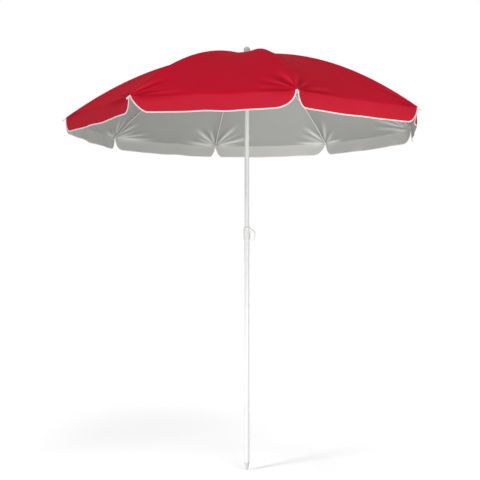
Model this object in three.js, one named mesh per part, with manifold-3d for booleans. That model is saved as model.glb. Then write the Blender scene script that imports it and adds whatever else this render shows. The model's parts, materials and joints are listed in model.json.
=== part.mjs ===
// Beach umbrella: a two-piece steel pole with a ground spike and a clamp, and an eight-rib folding canopy.
// Millimetres. +Z is up, the origin is the tip of the spike on the pole's axis, and the clamp lever is
// towards +X. The ribs and stretchers are equal-armed pairs, so the runner travels straight along the pole.
import * as THREE from "three";
import { mergeVertices } from "three/addons/utils/BufferGeometryUtils.js";
import Module from "manifold-3d";

const wasm = await Module();
wasm.setup();

// ---- clearances -------------------------------------------------------------------------------
const GAP = 0.4; // between pieces that touch, and around a sliding tube
const SLOT_GAP = 0.5; // each side of a blade in a slotted hub
const WIRE_GAP = 0.4; // radially around a hinge wire or a pin
const SLIDE_GAP = 0.7; // between the upper tube and the bore of the lower one
const EDGE = 1; // chamfer on the moulded pieces' outer edges
const OVERSHOOT = 1; // how far a cutting tool runs past the face it opens

// ---- pole -------------------------------------------------------------------------------------
const LOWER = { radius: 12.5, wall: 0.8, length: 1080 };
const UPPER = {
  radius: LOWER.radius - LOWER.wall - SLIDE_GAP, wall: 0.8, length: 1074, overlap: 240,
};
const SPIKE = { length: 33, tipRadius: 4, inset: 0.5, lip: 0.7, ringHeight: 4, plugLength: 45 };
const ROUND = 24; // sides of the turned pieces
const CORE = 1; // bodies that are bored later start at this radius
const THROUGH = 40; // length of a tool that cuts right through

// ---- clamp ------------------------------------------------------------------------------------
const COLLAR = { wall: 3.2, height: 60, above: 32, shoulder: 6, topWall: 2.4, bevel: 0.8 };
const EAR = { inner: 4.5, thickness: 4, slotBelow: 12, slotOut: 15 };
const LEVER = { belowTop: 18, camRadius: 3.9, camGap: 0.6, hookWidth: 14, armReach: 23 };
const PIN = { radius: 1.8, headLip: 1, headHeight: 1.2 };

// ---- canopy frame -----------------------------------------------------------------------------
const RIB_COUNT = 8;
const FIRST_RIB_DEG = 12.7; // azimuth of rib_1; the rest follow at equal steps
const REACH = 834; // pole axis to the fabric's corner, along a rib
const DROP = 323; // how far the corner lies below the canopy's top
const RIB = { width: 3, height: 3.2, eyeRadius: 3.4, eyeDrop: 1.2, tail: 3, pastCorner: 7 };
const STRETCHER = { height: 3.8, endRadius: 2.8, room: 2.1 };
const TIP = { radius: 3.6, length: 17 };
const HINGE = { fromTube: 11, wire: 0.8 };
const HUB = { rim: 8, height: 19, plate: 3, underCut: 5, underRise: 6 };
const ARM = 280; // crown pivot to rib joint, and rib joint to runner pivot
const CLIP = { cheek: 1.2, pegRadius: 1, radius: 3.6, rise: 0.3 };
const RUNNER = {
  rim: 6, flangeAbove: 5, flangeBelow: 9, flangeTaper: 6, wall: 4.6, gripWall: 7.4, gripHeight: 4,
  gripTaper: 6, below: 48,
};
const FINIAL = { radius: 15.6, height: 42, stemInset: 2.2, stemLength: 26 };
const CATCH = {
  out: 2.9, height: 22, flat: 5, width: 4, plateThickness: 1.8, plateWidth: 7, plateOver: 4, proud: 0.2,
};
const LEAF = { thickness: 0.6, width: 5, length: 52 };

// ---- fabric -----------------------------------------------------------------------------------
const FABRIC = { thickness: 1.2, holeGap: 1.2, hemSag: 6, midSag: 16, flatShare: 0.15, seamGap: 0.3 };
const VALANCE = { depth: 65, cornerRadius: 42, notch: 4.5, inset: 0.3 };

// ---- places worked out from the sizes ---------------------------------------------------------
const HALF_STEP = Math.PI / RIB_COUNT;
const lowerBottom = SPIKE.length + SPIKE.ringHeight + GAP;
const lowerTop = lowerBottom + LOWER.length;
const collarTop = lowerTop + COLLAR.above;
const upperBottom = lowerTop - UPPER.overlap;
const upperTop = upperBottom + UPPER.length;
const collarRadius = LOWER.radius + COLLAR.wall;
const leverPivot = { x: UPPER.radius + LEVER.camGap + LEVER.camRadius, z: collarTop - LEVER.belowTop };
const hubTop = upperTop + GAP + HUB.plate;
const ringRadius = UPPER.radius + HINGE.fromTube;
const bladeStart = ringRadius - Math.max(RIB.tail, RIB.eyeRadius) - 2 * SLOT_GAP;
const hubRadius = ringRadius + HUB.rim;
const stemRadius = UPPER.radius - UPPER.wall - FINIAL.stemInset;
const fabricStart = hubRadius + 2;
const fabricTop = hubTop + GAP + FABRIC.thickness + DROP * (fabricStart / REACH) ** 2;

/** Height of the fabric's outer face over a rib, at a distance from the pole's axis. */
const fabricZ = (r) => fabricTop - DROP * (r / REACH) ** 2;
/** Downward slope of the fabric over a rib, as an angle. */
const ribSlope = (r) => Math.atan((2 * DROP * r) / REACH ** 2);
/** How far the fabric falls from a rib's middle to its edge. */
const edgeFall = (r) => (RIB.width / 2) * Math.tan(HALF_STEP) * Math.tan(ribSlope(r));
/** Height of a rib's centre line, a gap under the fabric. */
const ribZ = (r) =>
  fabricZ(r) - FABRIC.thickness - edgeFall(r) - (GAP + RIB.height / 2) / Math.cos(ribSlope(r));
/** Distances from the axis at which the fabric and the ribs bend. */
const stations = Array.from({ length: 8 }, (_, i) => (REACH * (i + 1)) / 8);
/** A height's value on the straight stretch between the two stations beside a distance. */
function onStretch(height, r) {
  const next = stations.findIndex((place) => place >= r);
  const from = next > 0 ? stations[next - 1] : 0;
  const share = (r - from) / (stations[next] - from);
  return height(from) * (1 - share) + height(stations[next]) * share;
}

const crownPivot = { x: ringRadius, z: ribZ(ringRadius) - RIB.height / 2 - RIB.eyeDrop };
const jointDrop = RIB.height / 2 + STRETCHER.endRadius + STRETCHER.room;

/** The rib joint: under the rib, one ARM from the crown pivot. */
function findJoint() {
  let near = ringRadius;
  let far = ringRadius + ARM;
  const reach = (x) => Math.hypot(x - crownPivot.x, onStretch(ribZ, x) - jointDrop - crownPivot.z);
  for (let i = 0; i < 50; i++) {
    const middle = (near + far) / 2;
    if (reach(middle) < ARM) near = middle;
    else far = middle;
  }
  return { x: near, z: onStretch(ribZ, near) - jointDrop };
}
const ribJoint = findJoint();
const runnerPivot = { x: crownPivot.x, z: 2 * ribJoint.z - crownPivot.z };
const runnerBottom = runnerPivot.z - RUNNER.below;
const catchTop = runnerBottom - GAP;
const catchAzimuth = THREE.MathUtils.degToRad(FIRST_RIB_DEG) - 5 * HALF_STEP;

// ---- solids -----------------------------------------------------------------------------------
/** A manifold solid made from a closed three.js geometry. */
function solid(geometry) {
  const bare = geometry.clone();
  bare.deleteAttribute("normal");
  bare.deleteAttribute("uv");
  const merged = mergeVertices(bare, 1e-4);
  return new wasm.Manifold(new wasm.Mesh({
    numProp: 3,
    vertProperties: new Float32Array(merged.attributes.position.array),
    triVerts: new Uint32Array(merged.index.array),
  }));
}

/** A three.js geometry made from a manifold solid. */
function geometryOf(manifold) {
  const mesh = manifold.getMesh();
  const geometry = new THREE.BufferGeometry();
  geometry.setAttribute("position", new THREE.BufferAttribute(new Float32Array(mesh.vertProperties), 3));
  geometry.setIndex(new THREE.BufferAttribute(new Uint32Array(mesh.triVerts), 1));
  return geometry;
}

/** The geometries joined into one body. */
const join = (...parts) => geometryOf(parts.map(solid).reduce((all, one) => all.add(one)));
/** The first geometry with the others cut from it. */
const cut = (body, ...tools) =>
  geometryOf(tools.map(solid).reduce((all, one) => all.subtract(one), solid(body)));

/** A body turned about +Z from [radius, z] points, counter-clockwise with the axis at the left. */
function turned(profile, sides = ROUND) {
  const points = profile.map(([radius, z]) => new THREE.Vector2(radius, z));
  const open = profile[0][0] === 0 && profile.at(-1)[0] === 0;
  if (!open) points.push(points[0].clone());
  return new THREE.LatheGeometry(points, sides).rotateX(Math.PI / 2);
}

/** A ring of rectangular section about +Z. */
const ring = (inner, outer, low, high, sides = ROUND) =>
  turned([[inner, low], [outer, low], [outer, high], [inner, high]], sides);

/** An outline of [x, z] points with a thickness along Y, centred on y = 0. */
function plate(outline, thickness) {
  const shape = new THREE.Shape(outline.map(([x, z]) => new THREE.Vector2(x, z)));
  const body = new THREE.ExtrudeGeometry(shape, { depth: thickness, bevelEnabled: false });
  return body.rotateX(Math.PI / 2).translate(0, thickness / 2, 0);
}

/** A round bar along Y. */
const bar = (radius, length, x, z, sides = 8) =>
  new THREE.CylinderGeometry(radius, radius, length, sides).translate(x, 0, z);

/** A box given by its low and high corners. */
const box = (low, high) =>
  new THREE.BoxGeometry(high[0] - low[0], high[1] - low[1], high[2] - low[2])
    .translate((low[0] + high[0]) / 2, (low[1] + high[1]) / 2, (low[2] + high[2]) / 2);

/** The geometry turned about +Z to an azimuth. */
const turnedTo = (geometry, azimuth) => geometry.rotateZ(azimuth);

/** A closed skin between two grids of points, outer face first. */
function skin(outer, inner) {
  const rows = outer.length;
  const columns = outer[0].length;
  const at = (side, i, j) => side * rows * columns + i * columns + j;
  const index = [];
  const quad = (a, b, c, d) => index.push(a, b, c, a, c, d);
  for (let i = 0; i < rows - 1; i++) {
    for (let j = 0; j < columns - 1; j++) {
      quad(at(0, i, j), at(0, i + 1, j), at(0, i + 1, j + 1), at(0, i, j + 1));
      quad(at(1, i, j), at(1, i, j + 1), at(1, i + 1, j + 1), at(1, i + 1, j));
    }
  }
  for (let i = 0; i < rows - 1; i++) {
    quad(at(0, i, 0), at(1, i, 0), at(1, i + 1, 0), at(0, i + 1, 0));
    quad(at(0, i, columns - 1), at(0, i + 1, columns - 1), at(1, i + 1, columns - 1), at(1, i, columns - 1));
  }
  for (let j = 0; j < columns - 1; j++) {
    quad(at(0, 0, j), at(0, 0, j + 1), at(1, 0, j + 1), at(1, 0, j));
    quad(at(0, rows - 1, j), at(1, rows - 1, j), at(1, rows - 1, j + 1), at(0, rows - 1, j + 1));
  }
  const geometry = new THREE.BufferGeometry();
  const numbers = [...outer, ...inner].flat(2);
  geometry.setAttribute("position", new THREE.BufferAttribute(new Float32Array(numbers), 3));
  geometry.setIndex(index);
  return geometry;
}

// ---- pole pieces ------------------------------------------------------------------------------
function groundSpike() {
  const plugRadius = LOWER.radius - LOWER.wall - GAP;
  const ringTop = SPIKE.length + SPIKE.ringHeight;
  return turned([
    [0, 0], [SPIKE.tipRadius, 0], [LOWER.radius - SPIKE.inset, SPIKE.length],
    [LOWER.radius + SPIKE.lip, SPIKE.length], [LOWER.radius + SPIKE.lip, ringTop],
    [plugRadius, ringTop], [plugRadius, ringTop + SPIKE.plugLength],
    [0, ringTop + SPIKE.plugLength],
  ]);
}

const lowerTube = () => ring(LOWER.radius - LOWER.wall, LOWER.radius, lowerBottom, lowerTop);

function upperTube() {
  const tube = ring(UPPER.radius - UPPER.wall, UPPER.radius, upperBottom, upperTop);
  const half = CATCH.width / 2 + GAP;
  const window = box([0, -half, catchTop - CATCH.height - GAP], [UPPER.radius * 2, half, catchTop + GAP]);
  return cut(tube, turnedTo(window, catchAzimuth));
}

// ---- clamp pieces -----------------------------------------------------------------------------
/** Outline of an ear of the collar: its top edge slopes from the pole out past the lever's pivot. */
const earOutline = () => [
  [-5.5, -17], [1.5, -15], [8, -7], [10.5, 2], [8.5, 10], [-7.5, 20.5],
].map(([x, z]) => [leverPivot.x + x, leverPivot.z + z]);

function clampCollar() {
  const low = collarTop - COLLAR.height;
  const body = turned([
    [CORE, low], [collarRadius - COLLAR.bevel, low], [collarRadius, low + COLLAR.bevel],
    [collarRadius, collarTop - COLLAR.shoulder], [UPPER.radius + COLLAR.topWall, collarTop],
    [CORE, collarTop],
  ]);
  const middle = EAR.inner + EAR.thickness / 2;
  const outside = EAR.inner + EAR.thickness;
  const spotFace = bar(PIN.radius + PIN.headLip + GAP, THROUGH, leverPivot.x, leverPivot.z);
  const ears = [-middle, middle].map((y) => plate(earOutline(), EAR.thickness).translate(0, y, 0));
  const slot = box(
    [UPPER.radius / 2, -EAR.inner, leverPivot.z - EAR.slotBelow],
    [leverPivot.x + EAR.slotOut, EAR.inner, collarTop + COLLAR.height],
  );
  return cut(
    join(body, ...ears),
    ring(CORE / 2, UPPER.radius + GAP, low - OVERSHOOT, collarTop + COLLAR.height),
    ring(CORE / 2, LOWER.radius + GAP, low - OVERSHOOT, lowerTop + GAP),
    slot,
    bar(PIN.radius + WIRE_GAP, THROUGH, leverPivot.x, leverPivot.z),
    ...[-1, 1].map((side) => spotFace.clone().translate(0, side * (outside + THROUGH / 2), 0)),
  );
}

/** A strip along a smooth line through [x, z, half width] points, as an outline. */
function strip(stations, steps) {
  const line = new THREE.CatmullRomCurve3(stations.map(([x, z, half]) => new THREE.Vector3(x, half, z)));
  const left = [];
  const right = [];
  for (let i = 0; i <= steps; i++) {
    const here = line.getPoint(i / steps);
    const along = line.getTangent(i / steps);
    const scale = here.y / Math.hypot(along.x, along.z);
    left.push([here.x - along.z * scale, here.z + along.x * scale]);
    right.push([here.x + along.z * scale, here.z - along.x * scale]);
  }
  return [...right, ...left.reverse()];
}

function clampLever() {
  const hook = strip([
    [2, 0, 3.6], [11, 1.6, 4.9], [18, -2.6, 4.8], [22.4, -12, 3.9], [22.7, -25, 3.7], [19, -37, 3.6],
    [12, -45.5, 3.3], [7.5, -48.8, 2.6],
  ].map(([x, z, half]) => [leverPivot.x + x, leverPivot.z + z, half]), 18);
  const arm = plate(hook, 2 * (EAR.inner - GAP));
  const inside = bar(LEVER.armReach, LEVER.hookWidth * 2, leverPivot.x, leverPivot.z, 20);
  const grip = cut(plate(hook, LEVER.hookWidth), inside);
  const cam = bar(LEVER.camRadius, 2 * (EAR.inner - GAP), leverPivot.x, leverPivot.z, 16);
  const hole = bar(PIN.radius + WIRE_GAP, THROUGH, leverPivot.x, leverPivot.z);
  return cut(join(arm, cam, grip), hole);
}

function leverPin() {
  const half = EAR.inner + EAR.thickness;
  const head = bar(PIN.radius + PIN.headLip, PIN.headHeight, leverPivot.x, leverPivot.z);
  const out = half + GAP + PIN.headHeight / 2;
  const heads = [-1, 1].map((side) => head.clone().translate(0, side * out, 0));
  return join(bar(PIN.radius, 2 * out, leverPivot.x, leverPivot.z), ...heads);
}

// ---- crown and runner -------------------------------------------------------------------------
/** One tool that cuts the radial slots for the blades of a hinge ring, from a height upwards. */
function bladeSlots(outerRadius, low, high) {
  const half = RIB.width / 2 + SLOT_GAP;
  const slot = box([bladeStart, -half, low], [outerRadius + OVERSHOOT, half, high]);
  return Array.from({ length: RIB_COUNT }, (_, i) => turnedTo(slot.clone(), ribAzimuth(i)));
}

/** The groove, open upwards, that a hinge wire lies in. */
function wireGroove(pivot, top) {
  const half = HINGE.wire + WIRE_GAP;
  return ring(pivot.x - half, pivot.x + half, pivot.z - half, top + OVERSHOOT);
}

const hingeWire = (pivot) => turned(Array.from({ length: 6 }, (_, i) => {
  const turn = (i * Math.PI) / 3;
  return [pivot.x + HINGE.wire * Math.cos(turn), pivot.z + HINGE.wire * Math.sin(turn)];
}));

function crownHub() {
  const low = hubTop - HUB.height;
  const body = turned([
    [CORE, low], [hubRadius - HUB.underCut, low], [hubRadius, low + HUB.underRise],
    [hubRadius, hubTop - EDGE], [hubRadius - EDGE, hubTop], [CORE, hubTop],
  ]);
  return cut(
    body,
    ring(CORE / 2, stemRadius + GAP, low - OVERSHOOT, hubTop + OVERSHOOT),
    ring(CORE / 2, UPPER.radius + GAP, low - OVERSHOOT, upperTop + GAP),
    ...bladeSlots(hubRadius, low - OVERSHOOT, hubTop + OVERSHOOT),
    wireGroove(crownPivot, hubTop),
  );
}

function runner() {
  const top = runnerPivot.z + RUNNER.flangeAbove;
  const under = runnerPivot.z - RUNNER.flangeBelow;
  const grip = UPPER.radius + RUNNER.gripWall;
  const sleeve = UPPER.radius + RUNNER.wall;
  const flange = ringRadius + RUNNER.rim;
  const body = turned([
    [CORE, runnerBottom], [grip - EDGE, runnerBottom], [grip, runnerBottom + EDGE],
    [grip, runnerBottom + RUNNER.gripHeight],
    [sleeve, runnerBottom + RUNNER.gripHeight + RUNNER.gripTaper], [sleeve, under - RUNNER.flangeTaper],
    [flange, under], [flange, top - EDGE], [flange - EDGE, top], [CORE, top],
  ]);
  const keyHalf = CATCH.width / 2 + GAP;
  const keyway = box(
    [0, -keyHalf, runnerBottom - OVERSHOOT], [UPPER.radius + CATCH.out + GAP, keyHalf, top + OVERSHOOT],
  );
  return cut(
    body,
    ring(CORE / 2, UPPER.radius + GAP, runnerBottom - OVERSHOOT, top + OVERSHOOT),
    turnedTo(keyway, catchAzimuth),
    ...bladeSlots(flange, runnerPivot.z - RIB.eyeRadius - SLOT_GAP, top + OVERSHOOT),
    wireGroove(runnerPivot, top),
  );
}

function finial() {
  const low = fabricTop + GAP;
  const dome = Array.from({ length: 6 }, (_, i) => {
    const turn = (i * Math.PI) / 10;
    return [FINIAL.radius * Math.cos(turn), low + FINIAL.height - FINIAL.radius * (1 - Math.sin(turn))];
  });
  dome[5][0] = 0;
  return turned([
    [0, low - FINIAL.stemLength], [stemRadius, low - FINIAL.stemLength], [stemRadius, low],
    [FINIAL.radius - EDGE, low], [FINIAL.radius, low + EDGE], ...dome,
  ], 20);
}

function catchButton() {
  const inside = UPPER.radius - UPPER.wall - GAP;
  const plateFace = Math.sqrt(inside ** 2 - (CATCH.plateWidth / 2) ** 2);
  const back = plateFace - CATCH.plateThickness;
  const nose = plate([
    [back, catchTop - CATCH.height], [UPPER.radius + CATCH.proud, catchTop - CATCH.height],
    [UPPER.radius + CATCH.out, catchTop - CATCH.flat], [UPPER.radius + CATCH.out, catchTop],
    [back, catchTop],
  ], CATCH.width);
  const base = plate([
    [back, catchTop - CATCH.height - CATCH.plateOver], [plateFace, catchTop - CATCH.height - CATCH.plateOver],
    [plateFace, catchTop + CATCH.plateOver], [back, catchTop + CATCH.plateOver],
  ], CATCH.plateWidth);
  return turnedTo(join(nose, base), catchAzimuth);
}

function catchSpring() {
  const inside = UPPER.radius - UPPER.wall - GAP;
  const front = Math.sqrt(inside ** 2 - (CATCH.plateWidth / 2) ** 2) - CATCH.plateThickness - GAP;
  const back = -Math.sqrt(inside ** 2 - (LEAF.width / 2) ** 2);
  const top = catchTop - CATCH.height / 2;
  const half = LEAF.thickness / 2;
  const leaf = strip([
    [front - half, top + 8, half], [front - half, top - 4, half], [front - half - 5, top - 18, half],
    [back + half + 4, top - 30, half], [back + half + GAP, top - 40, half],
    [back + half, top - LEAF.length, half],
  ], 14);
  return turnedTo(plate(leaf, LEAF.width), catchAzimuth);
}

// ---- ribs and stretchers, built along +X ------------------------------------------------------
function ribAzimuth(i) {
  return THREE.MathUtils.degToRad(FIRST_RIB_DEG) + 2 * HALF_STEP * i;
}

/** An outline that follows a rib's centre line at a half height, between two distances from the axis. */
function alongRib(from, to, half) {
  const places = [from, ...stations.filter((r) => r > from + RIB.height && r < to - RIB.height), to];
  const edge = (side) => places.map((r) =>
    [r + side * half * Math.sin(ribSlope(r)), ribZ(r) + side * half * Math.cos(ribSlope(r))]);
  return [...edge(-1), ...edge(1).reverse()];
}

function rib() {
  const blade = plate(alongRib(ringRadius - RIB.tail, REACH + RIB.pastCorner, RIB.height / 2), RIB.width);
  const eye = bar(RIB.eyeRadius, RIB.width, crownPivot.x, crownPivot.z, 12);
  return cut(
    join(blade, eye),
    bar(HINGE.wire + WIRE_GAP, THROUGH, crownPivot.x, crownPivot.z),
    bar(CLIP.pegRadius + WIRE_GAP, THROUGH, ribJoint.x, ribJoint.z + jointDrop),
  );
}

/** A rounded cap on the end of a rib, just past the fabric's corner. */
function ribTip() {
  const start = REACH + 1.2;
  const nose = Array.from({ length: 3 }, (_, i) => {
    const turn = (i * Math.PI) / 4;
    return [TIP.radius * Math.cos(turn), TIP.length - TIP.radius * (1 - Math.sin(turn))];
  });
  nose[2][0] = 0;
  const cap = turned([[0, 0], [TIP.radius, 0], ...nose], 10)
    .rotateY(Math.PI / 2 + ribSlope(start))
    .translate(start, 0, ribZ(start));
  const pocket = plate(
    alongRib(start - 4, REACH + RIB.pastCorner + GAP, RIB.height / 2 + GAP), RIB.width + 2 * GAP,
  );
  return cut(cap, pocket);
}

/** Two cheeks beside the rib and stretcher, held by a rivet through each. */
function jointClip() {
  const inner = RIB.width / 2 + GAP;
  const ribCentre = { x: ribJoint.x, z: ribJoint.z + jointDrop };
  const fall = (CLIP.radius + 2) * Math.tan(ribSlope(ribJoint.x));
  const outline = [
    [ribJoint.x - CLIP.radius, ribJoint.z - 1.5], [ribJoint.x - CLIP.radius + 1.5, ribJoint.z - 3],
    [ribJoint.x + CLIP.radius - 1.5, ribJoint.z - 3], [ribJoint.x + CLIP.radius, ribJoint.z - 1.5],
    [ribCentre.x + CLIP.radius + 2, ribCentre.z + CLIP.rise - fall],
    [ribCentre.x - CLIP.radius - 2, ribCentre.z + CLIP.rise + fall],
  ];
  const cheeks = [-1, 1].map((side) =>
    plate(outline, CLIP.cheek).translate(0, side * (inner + CLIP.cheek / 2), 0));
  const length = 2 * (inner + CLIP.cheek);
  const rivets = [ribJoint, ribCentre].map(({ x, z }) => bar(CLIP.pegRadius, length + 1, x, z, 6));
  return join(...cheeks, ...rivets);
}

function stretcher() {
  const half = STRETCHER.height / 2;
  const rise = Math.atan2(ribJoint.z - runnerPivot.z, ribJoint.x - runnerPivot.x);
  const side = [-Math.sin(rise) * half, Math.cos(rise) * half];
  const blade = plate([
    [runnerPivot.x - side[0], runnerPivot.z - side[1]], [ribJoint.x - side[0], ribJoint.z - side[1]],
    [ribJoint.x + side[0], ribJoint.z + side[1]], [runnerPivot.x + side[0], runnerPivot.z + side[1]],
  ], RIB.width);
  return cut(
    join(
      blade,
      bar(RIB.eyeRadius, RIB.width, runnerPivot.x, runnerPivot.z, 12),
      bar(STRETCHER.endRadius, RIB.width, ribJoint.x, ribJoint.z, 12),
    ),
    bar(HINGE.wire + WIRE_GAP, THROUGH, runnerPivot.x, runnerPivot.z),
    bar(CLIP.pegRadius + WIRE_GAP, THROUGH, ribJoint.x, ribJoint.z),
  );
}

// ---- fabric, built about a rib along +X -------------------------------------------------------
/** A point of the canopy: s runs along the seam-to-seam line, 0 on the rib and +-1 midway to the next. */
function roofPoint(reach, s, down = 0) {
  const inwards = 1 - Math.abs(s) * Math.sin(HALF_STEP) ** 2;
  const across = s * Math.sin(HALF_STEP) * Math.cos(HALF_STEP) * reach;
  const gap = Math.abs(s) === 1 ? (Math.sign(s) * FABRIC.seamGap) / 2 : 0;
  const out = Math.max(reach - fabricStart, 0) / (REACH - fabricStart);
  const beside = Math.max(Math.abs(s) - FABRIC.flatShare, 0) / (1 - FABRIC.flatShare);
  const sag = FABRIC.hemSag * out ** 2 + FABRIC.midSag * 4 * out * (1 - out);
  return [reach * inwards, across - gap, fabricZ(reach) - sag * (1 - (1 - beside) ** 2) - down];
}

/** The valance's depth at a distance along the hem from the rib: a rounded corner beside a notch. */
function valanceDepth(along) {
  const past = Math.min(Math.max((along - VALANCE.notch) / VALANCE.cornerRadius, 0), 1);
  return 3 + (VALANCE.depth - 3) * Math.sqrt(1 - (1 - past) ** 2);
}

/** The hanging edge strip on one side of the rib. */
function valance(side) {
  const hem = REACH * Math.sin(HALF_STEP);
  const first = VALANCE.notch / hem;
  const corner = (VALANCE.notch + VALANCE.cornerRadius) / hem;
  const places = [0, 0.08, 0.25, 0.55, 1].map((t) => first + (corner - first) * t);
  places.push((1 + corner) / 2, 1);
  const ordered = side > 0 ? places : places.map((s) => -s).reverse();
  const inward = [-Math.cos(HALF_STEP), -side * Math.sin(HALF_STEP)];
  const grid = (inset) => [0, 1].map((t) => ordered.map((s) => {
    const [x, y, z] = roofPoint(REACH, s, FABRIC.thickness / 2);
    return [x + inward[0] * inset, y + inward[1] * inset, z - valanceDepth(Math.abs(s) * hem) * t];
  }));
  return skin(grid(VALANCE.inset), grid(VALANCE.inset + FABRIC.thickness));
}

function canopySector() {
  const rings = [stemRadius + FABRIC.holeGap, fabricStart, ...stations];
  const middle = (1 + FABRIC.flatShare) / 2;
  const across = [-1, -middle, -FABRIC.flatShare, 0, FABRIC.flatShare, middle, 1];
  const grid = (down) => rings.map((reach) => across.map((s) => roofPoint(reach, s, down)));
  return join(skin(grid(0), grid(FABRIC.thickness)), valance(-1), valance(1));
}

// ---- finishes ---------------------------------------------------------------------------------
const finish = (color, roughness, metalness) =>
  new THREE.MeshStandardMaterial({ color, roughness, metalness });
const whitePaint = finish(0xe9e9e7, 0.35, 0.1);
const whitePlastic = finish(0xe2e2df, 0.45, 0);
const greyPlastic = finish(0xc4c6c8, 0.5, 0);
const steel = finish(0xb9bcbf, 0.3, 0.9);
const redFabric = finish(0xbe1428, 0.8, 0);

// ---- assembly ---------------------------------------------------------------------------------
const umbrella = new THREE.Group();

/** Adds one named sub-part to a group. */
function add(name, geometry, material, parent = umbrella) {
  const mesh = new THREE.Mesh(geometry, material);
  mesh.name = name;
  parent.add(mesh);
}

add("ground_spike", groundSpike(), greyPlastic);
add("lower_tube", lowerTube(), whitePaint);
add("clamp_collar", clampCollar(), whitePlastic);
add("clamp_lever", clampLever(), whitePlastic);
add("lever_pin", leverPin(), steel);
add("upper_tube", upperTube(), whitePaint);
add("crown_hub", crownHub(), whitePlastic);
add("crown_ring", hingeWire(crownPivot), steel);
add("finial", finial(), greyPlastic);
add("runner", runner(), whitePlastic);
add("runner_ring", hingeWire(runnerPivot), steel);
add("catch_button", catchButton(), steel);
add("catch_spring", catchSpring(), steel);

for (let i = 0; i < RIB_COUNT; i++) {
  const spoke = new THREE.Group();
  spoke.rotation.z = ribAzimuth(i);
  umbrella.add(spoke);
  const number = i + 1;
  add(`rib_${number}`, rib(), whitePaint, spoke);
  add(`rib_tip_${number}`, ribTip(), whitePlastic, spoke);
  add(`rib_joint_${number}`, jointClip(), steel, spoke);
  add(`stretcher_${number}`, stretcher(), whitePaint, spoke);
  add(`canopy_${number}`, canopySector(), redFabric, spoke);
}

export default umbrella;
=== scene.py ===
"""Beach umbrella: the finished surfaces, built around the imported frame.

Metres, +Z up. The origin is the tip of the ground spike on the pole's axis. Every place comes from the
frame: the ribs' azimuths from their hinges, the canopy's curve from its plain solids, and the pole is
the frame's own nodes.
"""

from __future__ import annotations

import json
import logging
import math
from dataclasses import dataclass, field
from enum import Enum

import bmesh
import bpy
import numpy as np
from mathutils import Euler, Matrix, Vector


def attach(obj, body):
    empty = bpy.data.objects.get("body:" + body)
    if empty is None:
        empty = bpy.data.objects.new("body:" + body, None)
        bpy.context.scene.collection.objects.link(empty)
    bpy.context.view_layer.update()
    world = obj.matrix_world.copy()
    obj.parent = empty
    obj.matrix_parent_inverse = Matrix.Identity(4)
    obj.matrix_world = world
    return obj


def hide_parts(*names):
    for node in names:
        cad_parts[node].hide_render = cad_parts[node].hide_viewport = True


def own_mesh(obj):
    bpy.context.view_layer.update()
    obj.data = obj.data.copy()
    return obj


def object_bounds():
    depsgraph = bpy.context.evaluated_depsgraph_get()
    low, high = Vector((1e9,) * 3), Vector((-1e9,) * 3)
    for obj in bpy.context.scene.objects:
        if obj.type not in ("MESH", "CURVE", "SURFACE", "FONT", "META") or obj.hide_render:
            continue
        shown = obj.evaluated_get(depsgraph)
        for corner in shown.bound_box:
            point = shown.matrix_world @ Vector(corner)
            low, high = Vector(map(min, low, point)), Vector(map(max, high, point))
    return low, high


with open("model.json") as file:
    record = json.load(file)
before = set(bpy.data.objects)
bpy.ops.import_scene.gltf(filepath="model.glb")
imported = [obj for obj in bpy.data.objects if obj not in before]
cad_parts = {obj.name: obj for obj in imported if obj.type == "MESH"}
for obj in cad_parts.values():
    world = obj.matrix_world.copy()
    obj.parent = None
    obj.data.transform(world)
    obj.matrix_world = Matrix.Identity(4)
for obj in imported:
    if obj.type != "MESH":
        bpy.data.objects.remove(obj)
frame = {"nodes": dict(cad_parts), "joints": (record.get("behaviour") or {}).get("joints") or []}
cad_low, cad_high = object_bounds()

LOG = logging.getLogger("beach_umbrella")
MM = 0.001
UV_NAME = "Metric"
# The vertex attribute that paints highlight on the cloth's crease crests and shade deep in its creases.
CREASE_SHADE_ATTRIBUTE = "fold"
RIBS = 8
SHARP = 32.0
CLOTH_SHARP = 60.0
Colour = tuple[float, float, float, float]
Triple = tuple[float, float, float]
Span = tuple[float, float]
WHITE: Colour = (1, 1, 1, 1)


class Slot(Enum):
    """Material slots of the record."""

    PAINT = "white_paint"
    WHITE_PLASTIC = "white_plastic"
    GREY_PLASTIC = "grey_plastic"
    STEEL = "steel"
    FABRIC = "canopy_fabric"


# ---- shader building ----
class Wire:
    """An output socket that takes part in Python arithmetic by adding Math nodes."""

    def __init__(self, graph: Graph, socket: bpy.types.NodeSocket | None) -> None:
        """Keeps the socket and the graph it belongs to."""
        self.graph = graph
        self.socket = socket

    def math(self, operation: str, *others: Wire | float) -> Wire:
        """A Math node on this wire.

        Args:
            operation: The Math node's operation.
            others: The remaining values, in the node's order.

        Returns:
            The node's result.
        """
        values = dict(enumerate((self, *others)))
        return self.graph.node("ShaderNodeMath", {"operation": operation}, values)

    def _reflected(self, operation: str, first: float) -> Wire:
        """The same with the number first."""
        return self.graph.node("ShaderNodeMath", {"operation": operation}, {0: first, 1: self})

    def __add__(self, other: Wire | float) -> Wire:
        """Sum."""
        return self.math("ADD", other)

    __radd__ = __add__

    def __mul__(self, other: Wire | float) -> Wire:
        """Product."""
        return self.math("MULTIPLY", other)

    __rmul__ = __mul__

    def __sub__(self, other: Wire | float) -> Wire:
        """Difference."""
        return self.math("SUBTRACT", other)

    def __rsub__(self, other: float) -> Wire:
        """Number minus wire."""
        return self._reflected("SUBTRACT", other)

    def __truediv__(self, other: Wire | float) -> Wire:
        """Quotient."""
        return self.math("DIVIDE", other)

    def band(self, centre: float, half: float) -> Wire:
        """1 within half of the centre, and 0 elsewhere."""
        return self.math("COMPARE", centre, half)


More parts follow.
